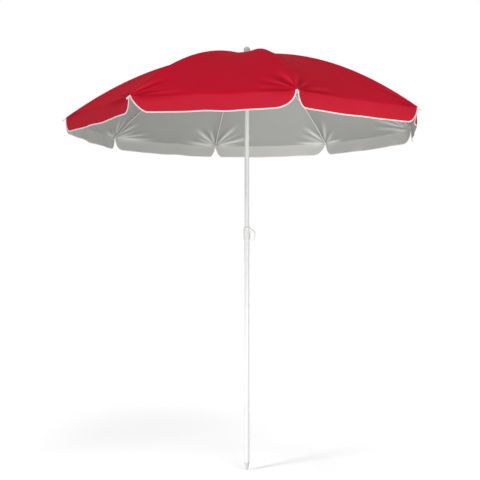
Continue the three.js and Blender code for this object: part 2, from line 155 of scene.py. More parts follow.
class Graph:
    """Builds the nodes of one material or world."""

    def __init__(self, owner: bpy.types.Material | bpy.types.World) -> None:
        """Starts with an empty node tree."""
        owner.use_nodes = True
        self.owner = owner
        self.tree = owner.node_tree
        self.tree.nodes.clear()

    @classmethod
    def of_material(cls, name: str) -> Graph:
        """A new material's graph."""
        return cls(bpy.data.materials.new(name))

    def node(self, kind: str, settings: dict | None = None, inputs: dict | None = None,
             output: int | str = 0) -> Wire:
        """Adds a node.

        Args:
            kind: The node's type.
            settings: Its properties, which are set first.
            inputs: Values or wires by socket name or number.
            output: The socket to return.

        Returns:
            The chosen output, or an empty wire where the node has none.
        """
        made = self.tree.nodes.new(kind)
        for name, value in (settings or {}).items():
            setattr(made, name, value)
        for name, value in (inputs or {}).items():
            if isinstance(value, Wire):
                self.tree.links.new(value.socket, made.inputs[name])
            else:
                made.inputs[name].default_value = value
        return Wire(self, made.outputs[output] if made.outputs else None)

    def place(self) -> Wire:
        """The point on the piece, in metres, which moves with it."""
        return self.node("ShaderNodeTexCoord", output="Object")

    def noise(self, at: Wire, scale: float, detail: float = 3.0, roughness: float = 0.5) -> Wire:
        """Noise from 0 to 1 with features about 1/scale metres across."""
        return self.node("ShaderNodeTexNoise", None,
                         {"Vector": at, "Scale": scale, "Detail": detail, "Roughness": roughness})

    def stretched(self, at: Wire, by: Triple) -> Wire:
        """The coordinates scaled by three factors."""
        return self.node("ShaderNodeVectorMath", {"operation": "MULTIPLY"}, {0: at, 1: by})

    def blend(self, factor: Wire, first: Wire | Colour, second: Wire | Colour) -> Wire:
        """A colour between two others."""
        return self.node("ShaderNodeMix", {"data_type": "RGBA"}, {0: factor, 6: first, 7: second}, 2)

    def between(self, factor: Wire, low: float, high: float) -> Wire:
        """A factor of 0 to 1 spread from low to high."""
        return factor * (high - low) + low

    def bump(self, height: Wire, distance: float, strength: float = 1.0,
             under: Wire | None = None) -> Wire:
        """A normal from a height.

        Args:
            height: The height, from 0 to 1.
            distance: What a height of 1 measures, in metres.
            strength: The share of the bump that is used.
            under: A normal that this one lies on.

        Returns:
            The bumped normal.
        """
        inputs: dict = {"Height": height, "Distance": distance, "Strength": strength}
        if under:
            inputs["Normal"] = under
        return self.node("ShaderNodeBump", None, inputs)

    def finish(self, **sockets: Wire | float | Colour) -> bpy.types.Material:
        """Ends in a Principled shader.

        Args:
            sockets: Its sockets, with _ for each space.

        Returns:
            The material.
        """
        inputs = {name.replace("_", " "): value for name, value in sockets.items()}
        shader = self.node("ShaderNodeBsdfPrincipled", None, inputs)
        self.node("ShaderNodeOutputMaterial", None, {"Surface": shader})
        return self.owner


# ---- finishes ----
@dataclass(frozen=True)
class PaintedSteel:
    """Powder-coated steel: a faint orange peel, and rubbed streaks along the pole."""

    name: str = "white_powder_coat"
    colour: Colour = (0.505, 0.505, 0.50, 1)
    rubbed: Colour = (0.445, 0.445, 0.44, 1)
    roughness: float = 0.30
    peel: float = 0.03 * MM
    peel_scale: float = 700.0
    cloud_scale: float = 7.0
    streak_scale: Triple = (420.0, 420.0, 14.0)
    streak_relief: float = 0.012 * MM

    def material(self) -> bpy.types.Material:
        """Builds the material."""
        graph = Graph.of_material(self.name)
        at = graph.place()
        cloudy = graph.noise(at, self.cloud_scale, 4.0)
        streaks = graph.noise(graph.stretched(at, self.streak_scale), 1.0, 4.0, 0.6)
        worn = (streaks * cloudy).math("SMOOTH_MIN", 0.45, 0.2) * 0.8
        peel = graph.noise(at, self.peel_scale, 2.0)
        return graph.finish(
            Base_Color=graph.blend(worn, self.colour, self.rubbed),
            Roughness=graph.between(streaks, self.roughness - 0.06, self.roughness + 0.12),
            Coat_Weight=0.25, Coat_Roughness=0.18, Specular_IOR_Level=0.5,
            Normal=graph.bump(streaks, self.streak_relief, 1.0, graph.bump(peel, self.peel)),
        )


@dataclass(frozen=True)
class MouldedPlastic:
    """Injection-moulded plastic with a fine spark-eroded grain and faint flow marks."""

    name: str
    colour: Colour
    shaded: Colour
    roughness: float = 0.42
    grain: float = 0.05 * MM
    grain_scale: float = 1600.0
    flow_scale: float = 55.0
    flow_stretch: Triple = (1.0, 1.0, 0.35)
    flow_relief: float = 0.1 * MM

    def material(self) -> bpy.types.Material:
        """Builds the material."""
        graph = Graph.of_material(self.name)
        at = graph.place()
        flow = graph.noise(graph.stretched(at, self.flow_stretch), self.flow_scale, 4.0, 0.6)
        grain = graph.node("ShaderNodeTexVoronoi", None, {"Vector": at, "Scale": self.grain_scale})
        return graph.finish(
            Base_Color=graph.blend(flow, self.colour, self.shaded),
            Roughness=graph.between(flow, self.roughness - 0.07, self.roughness + 0.1),
            Specular_IOR_Level=0.45,
            Normal=graph.bump(grain, self.grain, 0.6, graph.bump(flow, self.flow_relief)),
        )


@dataclass(frozen=True)
class PlatedSteel:
    """Zinc-plated wire and rivets: drawn lines and a blotchy sheen."""

    name: str = "zinc_plate"
    colour: Colour = (0.62, 0.63, 0.64, 1)
    dull: Colour = (0.44, 0.45, 0.47, 1)
    blotch_scale: float = 160.0
    drawn_scale: Triple = (2500.0, 2500.0, 120.0)
    drawn_relief: float = 0.02 * MM

    def material(self) -> bpy.types.Material:
        """Builds the material."""
        graph = Graph.of_material(self.name)
        at = graph.place()
        blotch = graph.noise(at, self.blotch_scale, 5.0, 0.65)
        drawn = graph.noise(graph.stretched(at, self.drawn_scale), 1.0, 2.0)
        return graph.finish(
            Base_Color=graph.blend(blotch, self.colour, self.dull), Metallic=1.0,
            Roughness=graph.between(blotch, 0.24, 0.46),
            Normal=graph.bump(drawn, self.drawn_relief),
        )


@dataclass(frozen=True)
class WovenCloth:
    """Plain-woven polyester: crossing threads, slubs and a soft mottling, with a painted highlight on
    its creases' crests, painted shade deep in the creases, and a valance colour painted for how light
    falls on the hanging cloth.
    """

    name: str
    colour: Colour
    deep: Colour
    roughness: float
    pitch: float = 0.55 * MM
    relief: float = 0.06 * MM
    # The valance colour is the same cloth painted for how light falls on the hanging valance.
    valance: Colour = (0.5, 0.5, 0.5, 1)
    # The next two colours are painted light: a painted highlight on crease crests and painted shade
    # deep in the creases.
    crest: Colour = (0.5, 0.5, 0.5, 1)
    hollow_shade: Colour = (0.1, 0.1, 0.1, 1)
    slub_across: float = 900.0
    slub_along: float = 12.0
    slub_relief: float = 0.05 * MM
    mottle_scale: float = 9.0
    crumple_scale: float = 38.0
    crumple_relief: float = 0.7 * MM
    hem_sharpness: float = 120.0

    def material(self) -> bpy.types.Material:
        """Builds the material."""
        graph = Graph.of_material(self.name)
        flat = graph.node("ShaderNodeUVMap", {"uv_map": UV_NAME})
        across = graph.node("ShaderNodeSeparateXYZ", None, {0: flat}, "X")
        along = graph.node("ShaderNodeSeparateXYZ", None, {0: flat}, "Y")
        turn = math.pi / self.pitch
        threads = (across * turn).math("SINE") * (along * turn).math("SINE") * 0.5 + 0.5
        warp, weft = (self.slub_across, self.slub_along, 1.0), (self.slub_along, self.slub_across, 1.0)
        slubs = [graph.noise(graph.stretched(flat, way), 1.0, 2.0) for way in (warp, weft)]
        slub = (slubs[0] + slubs[1]) * 0.5
        at = graph.place()
        mottle = graph.noise(at, self.mottle_scale, 5.0, 0.55)
        tone = mottle * 0.55 + slub * 0.3 + threads * 0.15
        crumple = graph.noise(at, self.crumple_scale, 4.0, 0.55)
        # Painted light and shade: below the hem the cloth turns to the valance colour, which stands in
        # for how light falls on the hanging cloth.
        below_hem = (along * self.hem_sharpness + 0.3).math("MINIMUM", 1.0).math("MAXIMUM", 0.0)
        hangs = below_hem * (1 - tone * 0.35)
        fine = graph.bump(threads, self.relief, 0.5, graph.bump(slub, self.slub_relief))
        # Painted highlight and shade: the crease attribute turns the cloth towards the crest colour on
        # crests and towards the darker colour deep in creases.
        fold = graph.node("ShaderNodeAttribute", {"attribute_name": CREASE_SHADE_ATTRIBUTE}, output="Fac")
        cloth = graph.blend(hangs, graph.blend(tone, self.colour, self.deep), self.valance)
        crest_highlighted = graph.blend(fold.math("MAXIMUM", 0.0), cloth, self.crest)
        return graph.finish(
            Base_Color=graph.blend((0 - fold).math("MAXIMUM", 0.0), crest_highlighted, self.hollow_shade),
            Roughness=graph.between(slub, self.roughness - 0.08, self.roughness + 0.08),
            Specular_IOR_Level=0.06,
            Normal=graph.bump(crumple, self.crumple_relief, 0.6, fine),
        )


@dataclass(frozen=True)
class StitchedTape:
    """Grosgrain tape with a row of lock stitches a set distance in from its edge."""

    name: str
    colour: Colour
    deep: Colour
    thread: Colour
    rows: tuple[float, ...]
    rib: float = 0.7 * MM
    stitch: float = 3.2 * MM
    gloss: float = 0.3
    sheen: float = 0.2
    row_half: float = 0.35 * MM
    dash_half: float = 0.36
    stitch_relief: float = 0.25 * MM
    rib_relief: float = 0.08 * MM

    def material(self) -> bpy.types.Material:
        """Builds the material."""
        graph = Graph.of_material(self.name)
        flat = graph.node("ShaderNodeUVMap", {"uv_map": UV_NAME})
        along = graph.node("ShaderNodeSeparateXYZ", None, {0: flat}, "X")
        across = graph.node("ShaderNodeSeparateXYZ", None, {0: flat}, "Y")
        ribs = (along * (2 * math.pi / self.rib)).math("SINE") * 0.5 + 0.5
        dash = (along / self.stitch).math("FRACT").band(0.5, self.dash_half)
        rows = across.band(self.rows[0], self.row_half)
        for row in self.rows[1:]:
            rows = rows.math("MAXIMUM", across.band(row, self.row_half))
        stitches = dash * rows
        woven = graph.blend(ribs * 0.6, self.colour, self.deep)
        return graph.finish(
            Base_Color=graph.blend(stitches, woven, self.thread),
            Roughness=graph.between(ribs, 0.7, 0.85), Specular_IOR_Level=self.gloss,
            Sheen_Weight=self.sheen, Sheen_Roughness=0.5,
            Normal=graph.bump(stitches, self.stitch_relief, 1.0, graph.bump(ribs, self.rib_relief)),
        )


@dataclass(frozen=True)
class StudioFloor:
    """A pale matt floor with a barely seen paper tooth and a painted glow of light, weaker about the
    umbrella's foot.
    """

    name: str = "studio_floor"
    colour: Colour = (0.80, 0.80, 0.80, 1)
    tooth: Colour = (0.77, 0.77, 0.77, 1)
    glow: float = 0.44
    foot_glow: float = 0.17
    foot: float = 1.3
    foot_core: float = 0.3

    def material(self) -> bpy.types.Material:
        """Builds the material, glowing a little less about the umbrella's foot."""
        graph = Graph.of_material(self.name)
        at = graph.place()
        grain = graph.noise(at, 300.0, 2.0)
        far = graph.node("ShaderNodeVectorMath", {"operation": "LENGTH"}, {0: at}, "Value")
        # Painted light: the floor glows less near the foot than farther out.
        outside = (far / self.foot - self.foot_core).math("MAXIMUM", 0.0).math("MINIMUM", 1.0)
        foot = (self.foot_glow / self.glow,) * 3 + (1,)
        return graph.finish(
            Base_Color=graph.blend(grain, self.colour, self.tooth), Roughness=0.9,
            Specular_IOR_Level=0.1, Emission_Color=graph.blend(outside, foot, WHITE),
            Emission_Strength=self.glow,
        )


class Wardrobe:
    """The umbrella's finishes, one material each."""

    def __init__(self) -> None:
        """Builds every material once."""
        red, dark_red = (0.43, 0.0035, 0.019, 1), (0.35, 0.002, 0.013, 1)
        self.hard = {
            Slot.PAINT: PaintedSteel().material(),
            Slot.WHITE_PLASTIC: MouldedPlastic(
                "white_plastic", (0.50, 0.50, 0.49, 1), (0.44, 0.44, 0.43, 1)).material(),
            Slot.GREY_PLASTIC: MouldedPlastic(
                "grey_plastic", (0.43, 0.435, 0.44, 1), (0.37, 0.375, 0.38, 1), 0.5).material(),
            Slot.STEEL: PlatedSteel().material(),
        }
        # The red cloth's valance colour is painted shade, darker than its roof; its crest colour is a
        # painted highlight and its darker crease colour painted shade.
        self.outside = WovenCloth(
            "red_cloth", red, dark_red, 0.85, valance=(0.29, 0.0095, 0.020, 1),
            crest=(0.55, 0.016, 0.042, 1), hollow_shade=(0.27, 0.002, 0.010, 1)).material()
        # The silver lining's valance colour is painted light, brighter than its roof; its crest colour
        # is a painted highlight and its darker crease colour painted shade.
        self.inside = WovenCloth(
            "silver_lining", (0.25, 0.25, 0.239, 1), (0.21, 0.21, 0.20, 1), 0.55,
            valance=(0.38, 0.38, 0.37, 1), crest=(0.42, 0.42, 0.41, 1),
            hollow_shade=(0.14, 0.14, 0.134, 1)).material()
        self.binding = StitchedTape(
            "white_binding", (0.50, 0.45, 0.44, 1), (0.40, 0.36, 0.35, 1),
            (0.46, 0.42, 0.41, 1), (3.3 * MM,)).material()
        self.seam = StitchedTape(
            "red_seam", red, dark_red, (0.36, 0.006, 0.02, 1), (-2.8 * MM, 2.8 * MM),
            gloss=0.05, sheen=0.0).material()


# ---- mesh building ----
def make_piece(name: str, points: np.ndarray, faces: list, materials: list,
               slots: list | None = None, flat: np.ndarray | None = None, sharp: float = 40.0,
               crease_shade: np.ndarray | None = None) -> bpy.types.Object:
    """Makes one smooth-shaded mesh piece.

    Args:
        name: The piece's name.
        points: Its vertices.
        faces: Vertex numbers of each face.
        materials: Its materials.
        slots: The material number of each face.
        flat: The flat cloth coordinates of each vertex, in metres.
        sharp: Edges bent more than this many degrees stay sharp.
        crease_shade: How far each vertex stands on a crease's crest, from -1 deep in the crease to 1;
            it sets the cloth's painted highlight and painted shade.

    Returns:
        The piece, linked to the scene.
    """
    mesh = bpy.data.meshes.new(name)
    mesh.from_pydata(points.tolist(), [], faces)
    for material in materials:
        mesh.materials.append(material)
    if slots is not None:
        mesh.polygons.foreach_set("material_index", slots)
    if flat is not None:
        corners = np.empty(len(mesh.loops), np.int32)
        mesh.loops.foreach_get("vertex_index", corners)
        layer = mesh.uv_layers.new(name=UV_NAME)
        layer.uv.foreach_set("vector", flat[corners].astype(np.float32).ravel())
    # The crease values are stored for the cloth's painted highlight and painted shade.
    if crease_shade is not None:
        layer = mesh.attributes.new(CREASE_SHADE_ATTRIBUTE, "FLOAT", "POINT")
        layer.data.foreach_set("value", np.clip(crease_shade, -1, 1).astype(np.float32))
    mesh.shade_smooth()
    mesh.set_sharp_from_angle(angle=math.radians(sharp))
    piece = bpy.data.objects.new(name, mesh)
    bpy.context.scene.collection.objects.link(piece)
    return piece


def soften(piece: bpy.types.Object, width: float, angle: float = SHARP) -> None:
    """Rounds a piece's sharp edges.

    Args:
        piece: The mesh.
        width: The rounding's width.
        angle: Only edges bent more than this many degrees are rounded.
    """
    bevel = piece.modifiers.new("edges", "BEVEL")
    bevel.width = width
    bevel.segments = 2
    bevel.limit_method = "ANGLE"
    bevel.angle_limit = math.radians(angle)
    bevel.harden_normals = True
    bevel.use_clamp_overlap = True


def turned(name: str, profile: list[Span], material: bpy.types.Material, sides: int,
           edge: float) -> bpy.types.Object:
    """Makes a piece turned about the pole's axis.

    Args:
        name: The piece's name.
        profile: (radius, height) points, counter-clockwise. It closes on itself or on the axis.
        material: Its material.
        sides: Steps round the axis.
        edge: The rounding of its sharp edges.

    Returns:
        The piece.
    """
    angles = np.arange(sides) * (2 * math.pi / sides)
    points, rows = [], []
    for radius, height in profile:
        start = len(points)
        if radius == 0:
            points.append((0.0, 0.0, height))
            rows.append([start] * sides)
        else:
            points += [(radius * math.cos(a), radius * math.sin(a), height) for a in angles]
            rows.append(list(range(start, start + sides)))
    pairs = list(zip(rows, rows[1:]))
    if profile[0][0] > 0:
        pairs.append((rows[-1], rows[0]))
    faces = []
    for low, high in pairs:
        for i in range(sides):
            j = (i + 1) % sides
            face = list(dict.fromkeys((low[i], low[j], high[j], high[i])))
            if len(face) > 2:
                faces.append(face)
    piece = make_piece(name, np.array(points), faces, [material])
    soften(piece, edge)
    return piece


def lofted(name: str, sections: np.ndarray, material: bpy.types.Material,
           flat: np.ndarray) -> bpy.types.Object:
    """Makes a closed bar through closed sections.

    Args:
        name: The piece's name.
        sections: Points of shape (sections, points round, 3).
        material: Its material.
        flat: Flat coordinates of shape (sections, points round, 2).

    Returns:
        The piece.
    """
    count, around, _ = sections.shape
    faces = []
    for i in range(count - 1):
        for j in range(around):
            k = (j + 1) % around
            faces.append((i * around + j, i * around + k, (i + 1) * around + k, (i + 1) * around + j))
    faces.append(tuple(range(around))[::-1])
    faces.append(tuple(range((count - 1) * around, count * around)))
    return make_piece(name, sections.reshape(-1, 3), faces, [material], flat=flat.reshape(-1, 2),
                      sharp=CLOTH_SHARP)


def smoothstep(value: np.ndarray) -> np.ndarray:
    """0 below 0, 1 above 1, and smooth between."""
    held = np.clip(value, 0.0, 1.0)
    return held * held * (3 - 2 * held)


# ---- studio ----
@dataclass(frozen=True)
class Sun:
    """A soft distant light. It comes from towards, and spread is its apparent size in degrees."""

    name: str
    towards: Triple
    strength: float
    spread: float


@dataclass(frozen=True)
class Lamp:
    """A light that stands at a place and faces a target."""

    place: Triple
    target: Triple
    power: float


@dataclass(frozen=True)
class Softbox(Lamp):
    """A square soft light with its side."""

    side: float


@dataclass(frozen=True)
class Spot(Lamp):
    """A soft-edged spotlight: its beam's whole angle in degrees, and the lamp's own radius."""

    beam: float
    radius: float


@dataclass
class Studio:
    """Camera, lights, sky and floor. The camera's distances are shares of the umbrella's height."""

    camera_back: float = 1.7639
    camera_height: float = 0.5434
    camera_yaw: float = 0.53
    lens: float = 56.0
    sky: float = 0.5
    floor_size: float = 60.0
    floor_cells: int = 8
    suns: tuple[Sun, ...] = (
        Sun("key", (0.5, -0.7, 0.7), 1.3, 40.0),
        Sun("low", (-0.85, -0.53, 0.42), 1.2, 15.0),
    )
    under_light: Softbox = Softbox((0.4, -3.3, 0.4), (0.05, 0.5, 1.8), 55.0, 0.7)
    back_spot: Spot = Spot((0.9, -3.1, 0.3), (0.2, 0.75, 1.76), 330.0, 18.0, 0.25)
    foot_spot: Spot = Spot((-1.7, -1.06, 0.84), (0.0, 0.0, 0.0), 95.0, 50.0, 0.28)

    def build(self) -> list[bpy.types.Object]:
        """Makes the camera first, then the lights, sky and floor."""
        made = [self._camera(), *(self._sun(sun) for sun in self.suns), self._softbox(self.under_light),
                self._spot(self.back_spot), self._spot(self.foot_spot)]
        self._sky()
        return [*made, self._floor()]

    def _camera(self) -> bpy.types.Object:
        """Stands the camera in front of the umbrella and makes it the scene's own."""
        height = cad_high.z - cad_low.z
        data = bpy.data.cameras.new("camera")
        data.lens = self.lens
        camera = bpy.data.objects.new("camera", data)
        camera.location = (0.0, -self.camera_back * height, self.camera_height * height)
        camera.rotation_euler = Euler((math.pi / 2, 0.0, math.radians(self.camera_yaw)))
        bpy.context.scene.collection.objects.link(camera)
        bpy.context.scene.camera = camera
        bpy.context.scene.view_settings.view_transform = "Standard"
        return camera

    def _sun(self, sun: Sun) -> bpy.types.Object:
        """Adds a soft distant light."""
        data = bpy.data.lights.new(sun.name, "SUN")
        data.energy = sun.strength
        data.angle = math.radians(sun.spread)
        return self._turn(data, Vector(sun.towards))

    def _softbox(self, lamp: Softbox) -> bpy.types.Object:
        """Adds a square soft light."""
        data = bpy.data.lights.new("softbox", "AREA")
        data.size = lamp.side
        data.energy = lamp.power
        return self._aim(data, lamp)

    def _spot(self, lamp: Spot) -> bpy.types.Object:
        """Adds a soft-edged spotlight."""
        data = bpy.data.lights.new("spot", "SPOT")
        data.spot_size = math.radians(lamp.beam)
        data.spot_blend = 1.0
        data.shadow_soft_size = lamp.radius
        data.energy = lamp.power
        return self._aim(data, lamp)

    def _aim(self, data: bpy.types.Light, lamp: Lamp) -> bpy.types.Object:
        """Stands a light at its place, facing its target and hidden from the camera."""
        made = self._turn(data, Vector(lamp.place) - Vector(lamp.target))
        made.location = lamp.place
        made.visible_camera = False
        return made

    @staticmethod
    def _turn(data: bpy.types.Light, towards: Vector) -> bpy.types.Object:
        """Adds a light that shines from a direction."""
        made = bpy.data.objects.new(data.name, data)
        made.rotation_mode = "QUATERNION"
        made.rotation_quaternion = towards.to_track_quat("Z", "Y")
        bpy.context.scene.collection.objects.link(made)
        return made

    def _sky(self) -> None:
        """Gives the scene an even white surround, brighter behind the umbrella than it lights."""
        graph = Graph(bpy.data.worlds.new("surround"))
        lighting = graph.node("ShaderNodeBackground", None, {"Color": WHITE, "Strength": self.sky})
        backdrop = graph.node("ShaderNodeBackground", None, {"Color": WHITE})
        seen = graph.node("ShaderNodeLightPath", output="Is Camera Ray")
        mixed = graph.node("ShaderNodeMixShader", None, {0: seen, 1: lighting, 2: backdrop})
        graph.node("ShaderNodeOutputWorld", None, {"Surface": mixed})
        bpy.context.scene.world = graph.owner

    def _floor(self) -> bpy.types.Object:
        """Lays the floor just under the spike."""
        mesh = bpy.data.meshes.new("floor")
        grid = bmesh.new()
        bmesh.ops.create_grid(grid, x_segments=self.floor_cells, y_segments=self.floor_cells,
                              size=self.floor_size)
        grid.to_mesh(mesh)
        grid.free()
        mesh.materials.append(StudioFloor().material())
        floor = bpy.data.objects.new("floor", mesh)
        floor.location.z = cad_low.z
        bpy.context.scene.collection.objects.link(floor)
        return floor


# ---- canopy ----
@dataclass(frozen=True)
class Corner:
    """The rounded lower corner at one end of a panel's valance."""

    width: float = 42 * MM
    roundness: float = 2.0
    curl: float = 0.0


@dataclass(frozen=True)
class CreaseFan:
    """Creases that spread from a rib's tip. A pair is the range that each crease draws from."""

    height: float = 5.0 * MM
    angles: tuple[float, ...] = (5.0, 18.0, 32.0, 50.0)
    aim: float = 3.5
    width_mm: Span = (3.2, 4.6)
    spread: Span = (0.04, 0.06)
    length: Span = (0.11, 0.22)
    size: Span = (0.6, 1.2)
    start: float = 0.055
    fades_from: float = 0.3
    fades_over: float = 0.9
    crest_size: float = 0.45
    crest_aside: float = 1.8
    crest_width: float = 1.1
    rib_margin: float = 14 * MM
    below_hem: float = 30 * MM
    # The share of a crease's height that gets the full painted highlight and painted shade.
    full_shade_share: float = 0.7


@dataclass(frozen=True)
class Waves:
    """Long waves of the roof, and ripples and puckers of the valance. Sizes ending in _mm are in mm."""

    swells: tuple[float, ...] = (0.34, 0.21, 0.15)
    swell_lean: float = 0.5
    swell_size: float = 4.0 * MM
    swell_fade: float = 0.55
    swell_margin: float = 12 * MM
    ripples_mm: tuple[Span, ...] = ((0.24, 1.8), (0.135, 1.1), (0.082, 0.4))
    ripple_size: Span = (0.7, 1.3)
    pucker_length: float = 0.031
    pucker_mm: Span = (0.15, 0.3)
    margin: float = 0.07
    curl_width: float = 0.05
    swell_draw: int = 7
    ripple_draw: int = 3


@dataclass
class Canopy:
    """Eight panels of cloth on eight ribs, built as one gore about each rib.

    A gore's own frame has +X along its rib. s runs along the hem, 0 on the rib and 1 midway to the
    next. drop runs down the cloth: negative on the roof, 0 at the hem and positive on the valance.
    """

    wardrobe: Wardrobe
    ribs: int = RIBS
    thickness: float = 0.9 * MM
    hem_sag: float = 6 * MM
    mid_sag: float = 16 * MM
    sag_start: float = 32 * MM
    ridge: float = 4.5 * MM
    notch: float = 2.6 * MM
    notch_top: float = 2.5 * MM
    fan: CreaseFan = CreaseFan()
    waves: Waves = Waves()
    hem_bend_mm: Span = (1.2, 5.0)
    hem_bend_run: float = 0.16
    column_step: float = 5 * MM
    creased_hem: float = 0.175
    roof_rows: tuple[tuple[float, int], ...] = ((0.22, 34), (0.02, 36), (0.003, 9))
    hem_rows: Span = (0.003, 0.0012)
    hang_rows: tuple[float, ...] = (
        0.0, 0.02, 0.05, 0.1, 0.18, 0.28, 0.38, 0.48, 0.58, 0.68, 0.77, 0.85, 0.92, 0.97, 1)
    tape_width: float = 4.4 * MM
    tape_proud: float = 0.5 * MM
    seam_width: float = 9 * MM
    seam_start: float = 34 * MM
    seam_stop: float = 3 * MM
    seam_rows: int = 90
    seed: int = 41
    folded_share: float = 0.22
    folded_angle: float = 65.0
    facing_start: float = 26 * MM
    facing_end: float = 0.43
    facing_taper: float = 0.15
    facing_columns: int = 17
    patch_inner: float = 17 * MM
    patch_outer: float = 27 * MM
    default_corner: Corner = Corner()
    corners: dict[tuple[int, int], Corner] = field(default_factory=lambda: {
        (6, 0): Corner(65 * MM, 1.35, 4 * MM), (6, 1): Corner(80 * MM, 2.0, -3 * MM),
        (7, 0): Corner(35 * MM, 2.0, 3 * MM), (7, 1): Corner(50 * MM, 1.6, 7 * MM),
        (5, 1): Corner(45 * MM, 2.0, -5 * MM), (5, 0): Corner(48 * MM, 1.7, 6 * MM),
        (2, 1): Corner(36 * MM, 1.8, 2 * MM), (3, 0): Corner(34 * MM, 1.7, 5 * MM),
        (2, 0): Corner(58 * MM, 1.6, -4 * MM), (1, 1): Corner(40 * MM, 2.0, 4 * MM),
        (4, 1): Corner(44 * MM, 1.8, 9 * MM), (8, 0): Corner(40 * MM, 1.8, -22 * MM),
        (8, 1): Corner(42 * MM, 1.9, 9 * MM),
    })

    def __post_init__(self) -> None:
        """Reads the canopy's curve from the plain solid about the first rib."""
        self.half = math.pi / self.ribs
        self.sine, self.cosine = math.sin(self.half), math.cos(self.half)
        self.widen = self.sine * self.cosine
        points = np.array([v.co for v in frame["nodes"]["canopy_1"].data.vertices])
        radii = np.hypot(points[:, 0], points[:, 1])
        self.reach = float(radii.max())
        self.hole = float(radii.min())
        corner = float(points[radii > self.reach - 0.1 * MM][:, 2].max())
        brim = float(points[radii < self.hole + 0.1 * MM][:, 2].max())
        share = (self.hole / self.reach) ** 2
        self.fall = (brim - corner) / (1 - share)
        self.top = brim + self.fall * share
        self.hem = self.reach * self.sine
        self.valance = corner - self.hem_sag - float(points[:, 2].min()) - 0.5 * MM
        self.slope = math.atan(2 * self.fall / self.reach)
        hinges = {j["name"]: j for j in frame["joints"]}
        self.azimuths = [math.atan2(-j["axis"][0], j["axis"][1]) for j in
                         (hinges[f"rib_fold_{k + 1}"] for k in range(self.ribs))]

    def _panel(self, gore: int, end: int) -> tuple[int, int]:
        """The panel on one side of a rib, numbered by its first rib, and which end of it this is."""
        return (gore, 0) if end == 0 else ((gore - 2) % self.ribs + 1, 1)

    def _corner(self, panel: int, end: int) -> Corner:
        """The valance corner at an end of a panel."""
        return self.corners.get((panel, end), self.default_corner)

    def _depth(self, gore: int, along: np.ndarray) -> np.ndarray:
        """How far the cloth hangs below the hem.

        Args:
            gore: The rib's number.
            along: Signed distance along the hem from the rib.

        Returns:
            The depth at each distance.
        """
        total = np.full(along.shape, self.notch_top)
        for end, side in ((0, 1), (1, -1)):
            corner = self._corner(*self._panel(gore, end))
            past = np.clip((side * along - self.notch) / corner.width, 0, 1)
            rise = (1 - (1 - past) ** corner.roundness) ** (1 / corner.roundness)
            total += (self.valance - self.notch_top) * rise
        return total

    def _fan(self, panel: int, end: int, across: np.ndarray, up: np.ndarray) -> np.ndarray:
        """Height of the creases that spread over a panel from one end of its hem.

        Args:
            panel: The panel's number.
            end: 0 for its first rib and 1 for its second.
            across: Distance along the hem from that end.
            up: Distance up the panel from the hem.

        Returns:
            The height at each place.
        """
        fan = self.fan
        chance = np.random.default_rng([self.seed, panel, end])
        away = np.hypot(across, up)
        angle = np.arctan2(up, across)
        total = np.zeros(away.shape)
        for middle in fan.angles:
            at = math.radians(middle + chance.uniform(-fan.aim, fan.aim))
            wide = chance.uniform(*fan.width_mm) * MM + chance.uniform(*fan.spread) * away
            long = chance.uniform(*fan.length)
            high = fan.height * chance.uniform(*fan.size)
            ending = smoothstep((away - fan.fades_from * long) / (fan.fades_over * long))
            along = smoothstep(away / fan.start) * (1 - ending)
            aside = away * np.sin(angle - at) / wide
            crest = fan.crest_size * np.exp(-((aside - fan.crest_aside) / fan.crest_width) ** 2)
            total += high * along * (crest - np.exp(-aside ** 2))
        return total

    def _creases(self, gore: int, s: np.ndarray, drop: np.ndarray) -> np.ndarray:
        """Height of every crease about a rib's tip.

        Args:
            gore: The rib's number.
            s: Place along the hem's direction.
            drop: Place down the cloth.

        Returns:
            The height at each place.
        """
        up = np.maximum(-drop, 0) * math.cos(self.slope)
        rho = self.reach - up
        across = up * self.sine + np.abs(s) * rho * self.sine
        climb = up * self.cosine / math.cos(self.slope)
        beside_rib = smoothstep(np.abs(s) * rho / self.fan.rib_margin)
        fade = beside_rib * smoothstep(1 - np.maximum(drop, 0) / self.fan.below_hem)
        total = np.zeros(s.shape)
        for end, mine in ((0, s >= 0), (1, s < 0)):
            total += mine * self._fan(self._panel(gore, end)[0], end, across, climb)
        return total * fade

    def _slack(self, rho: np.ndarray, across: np.ndarray) -> np.ndarray:
        """How far the cloth hangs below the straight line from rib to rib.

        Args:
            rho: Distance from the axis of that line's end on the rib.
            across: Distance from the rib's plane.

        Returns:
            The distance down.
        """
        widest = self.widen * rho
        aside = np.clip((across - self.ridge) / np.maximum(widest - self.ridge, 1 * MM), 0, 1)
        out = np.clip((rho - self.sag_start) / (self.reach - self.sag_start), 0, 1)
        most = self.hem_sag * out ** 2 + self.mid_sag * 4 * out * (1 - out)
        return most * (1 - (1 - aside) ** 2)

    def _swell(self, panel: int, along: np.ndarray, up: np.ndarray) -> np.ndarray:
        """Long soft waves of a panel's roof, which die out at its ribs."""
        waves = self.waves
        chance = np.random.default_rng([self.seed, panel, waves.swell_draw])
        share = np.clip(along / (2 * self.hem), 0, 1)
        total = np.zeros(along.shape)
        for length in waves.swells:
            lean = chance.uniform(-waves.swell_lean, waves.swell_lean)
            start = chance.uniform(0, 2 * math.pi)
            phase = 2 * math.pi * (along + lean * up) / length + start
            total += waves.swell_size * length * np.sin(phase)
        return total * np.sin(math.pi * share) ** 2 * smoothstep(1.25 - up / waves.swell_fade)

